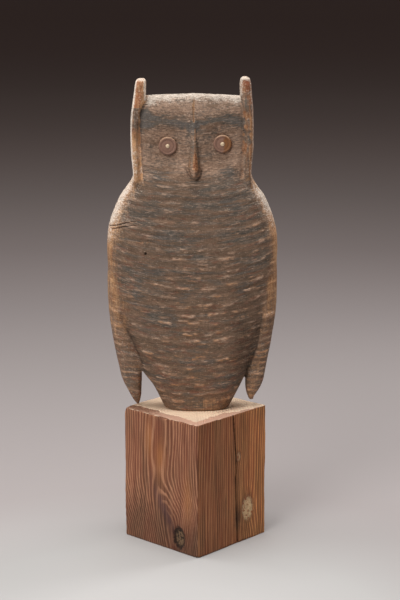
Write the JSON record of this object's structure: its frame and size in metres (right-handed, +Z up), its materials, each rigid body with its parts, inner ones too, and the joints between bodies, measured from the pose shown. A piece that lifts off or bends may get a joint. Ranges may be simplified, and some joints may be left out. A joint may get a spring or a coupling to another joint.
{
  "type": "owl decoy",
  "caption": "Horned owl decoy carved from a thick plank, with nailed round eyes, feather bars and free wing tips, set on a stub of square timber.",
  "frame": {"origin": "middle of the timber base's underside", "axes": "+Z up along the owl's height, -Y the way the owl faces, +X towards the right of a viewer who faces it"},
  "size_m": [0.2352, 0.1948, 0.6508],
  "materials": {
    "worn_painted_wood": "worn dark paint over weathered wood",
    "eye_disc": "dull stained wood",
    "nail": "dulled nail head",
    "old_timber": "aged fir with open grain"
  },
  "bodies": {
    "root": {"owl": "worn_painted_wood", "left_eye_disc": "eye_disc", "right_eye_disc": "eye_disc", "left_eye_nail": "nail", "right_eye_nail": "nail", "timber_base": "old_timber"}
  },
  "joints": []
}
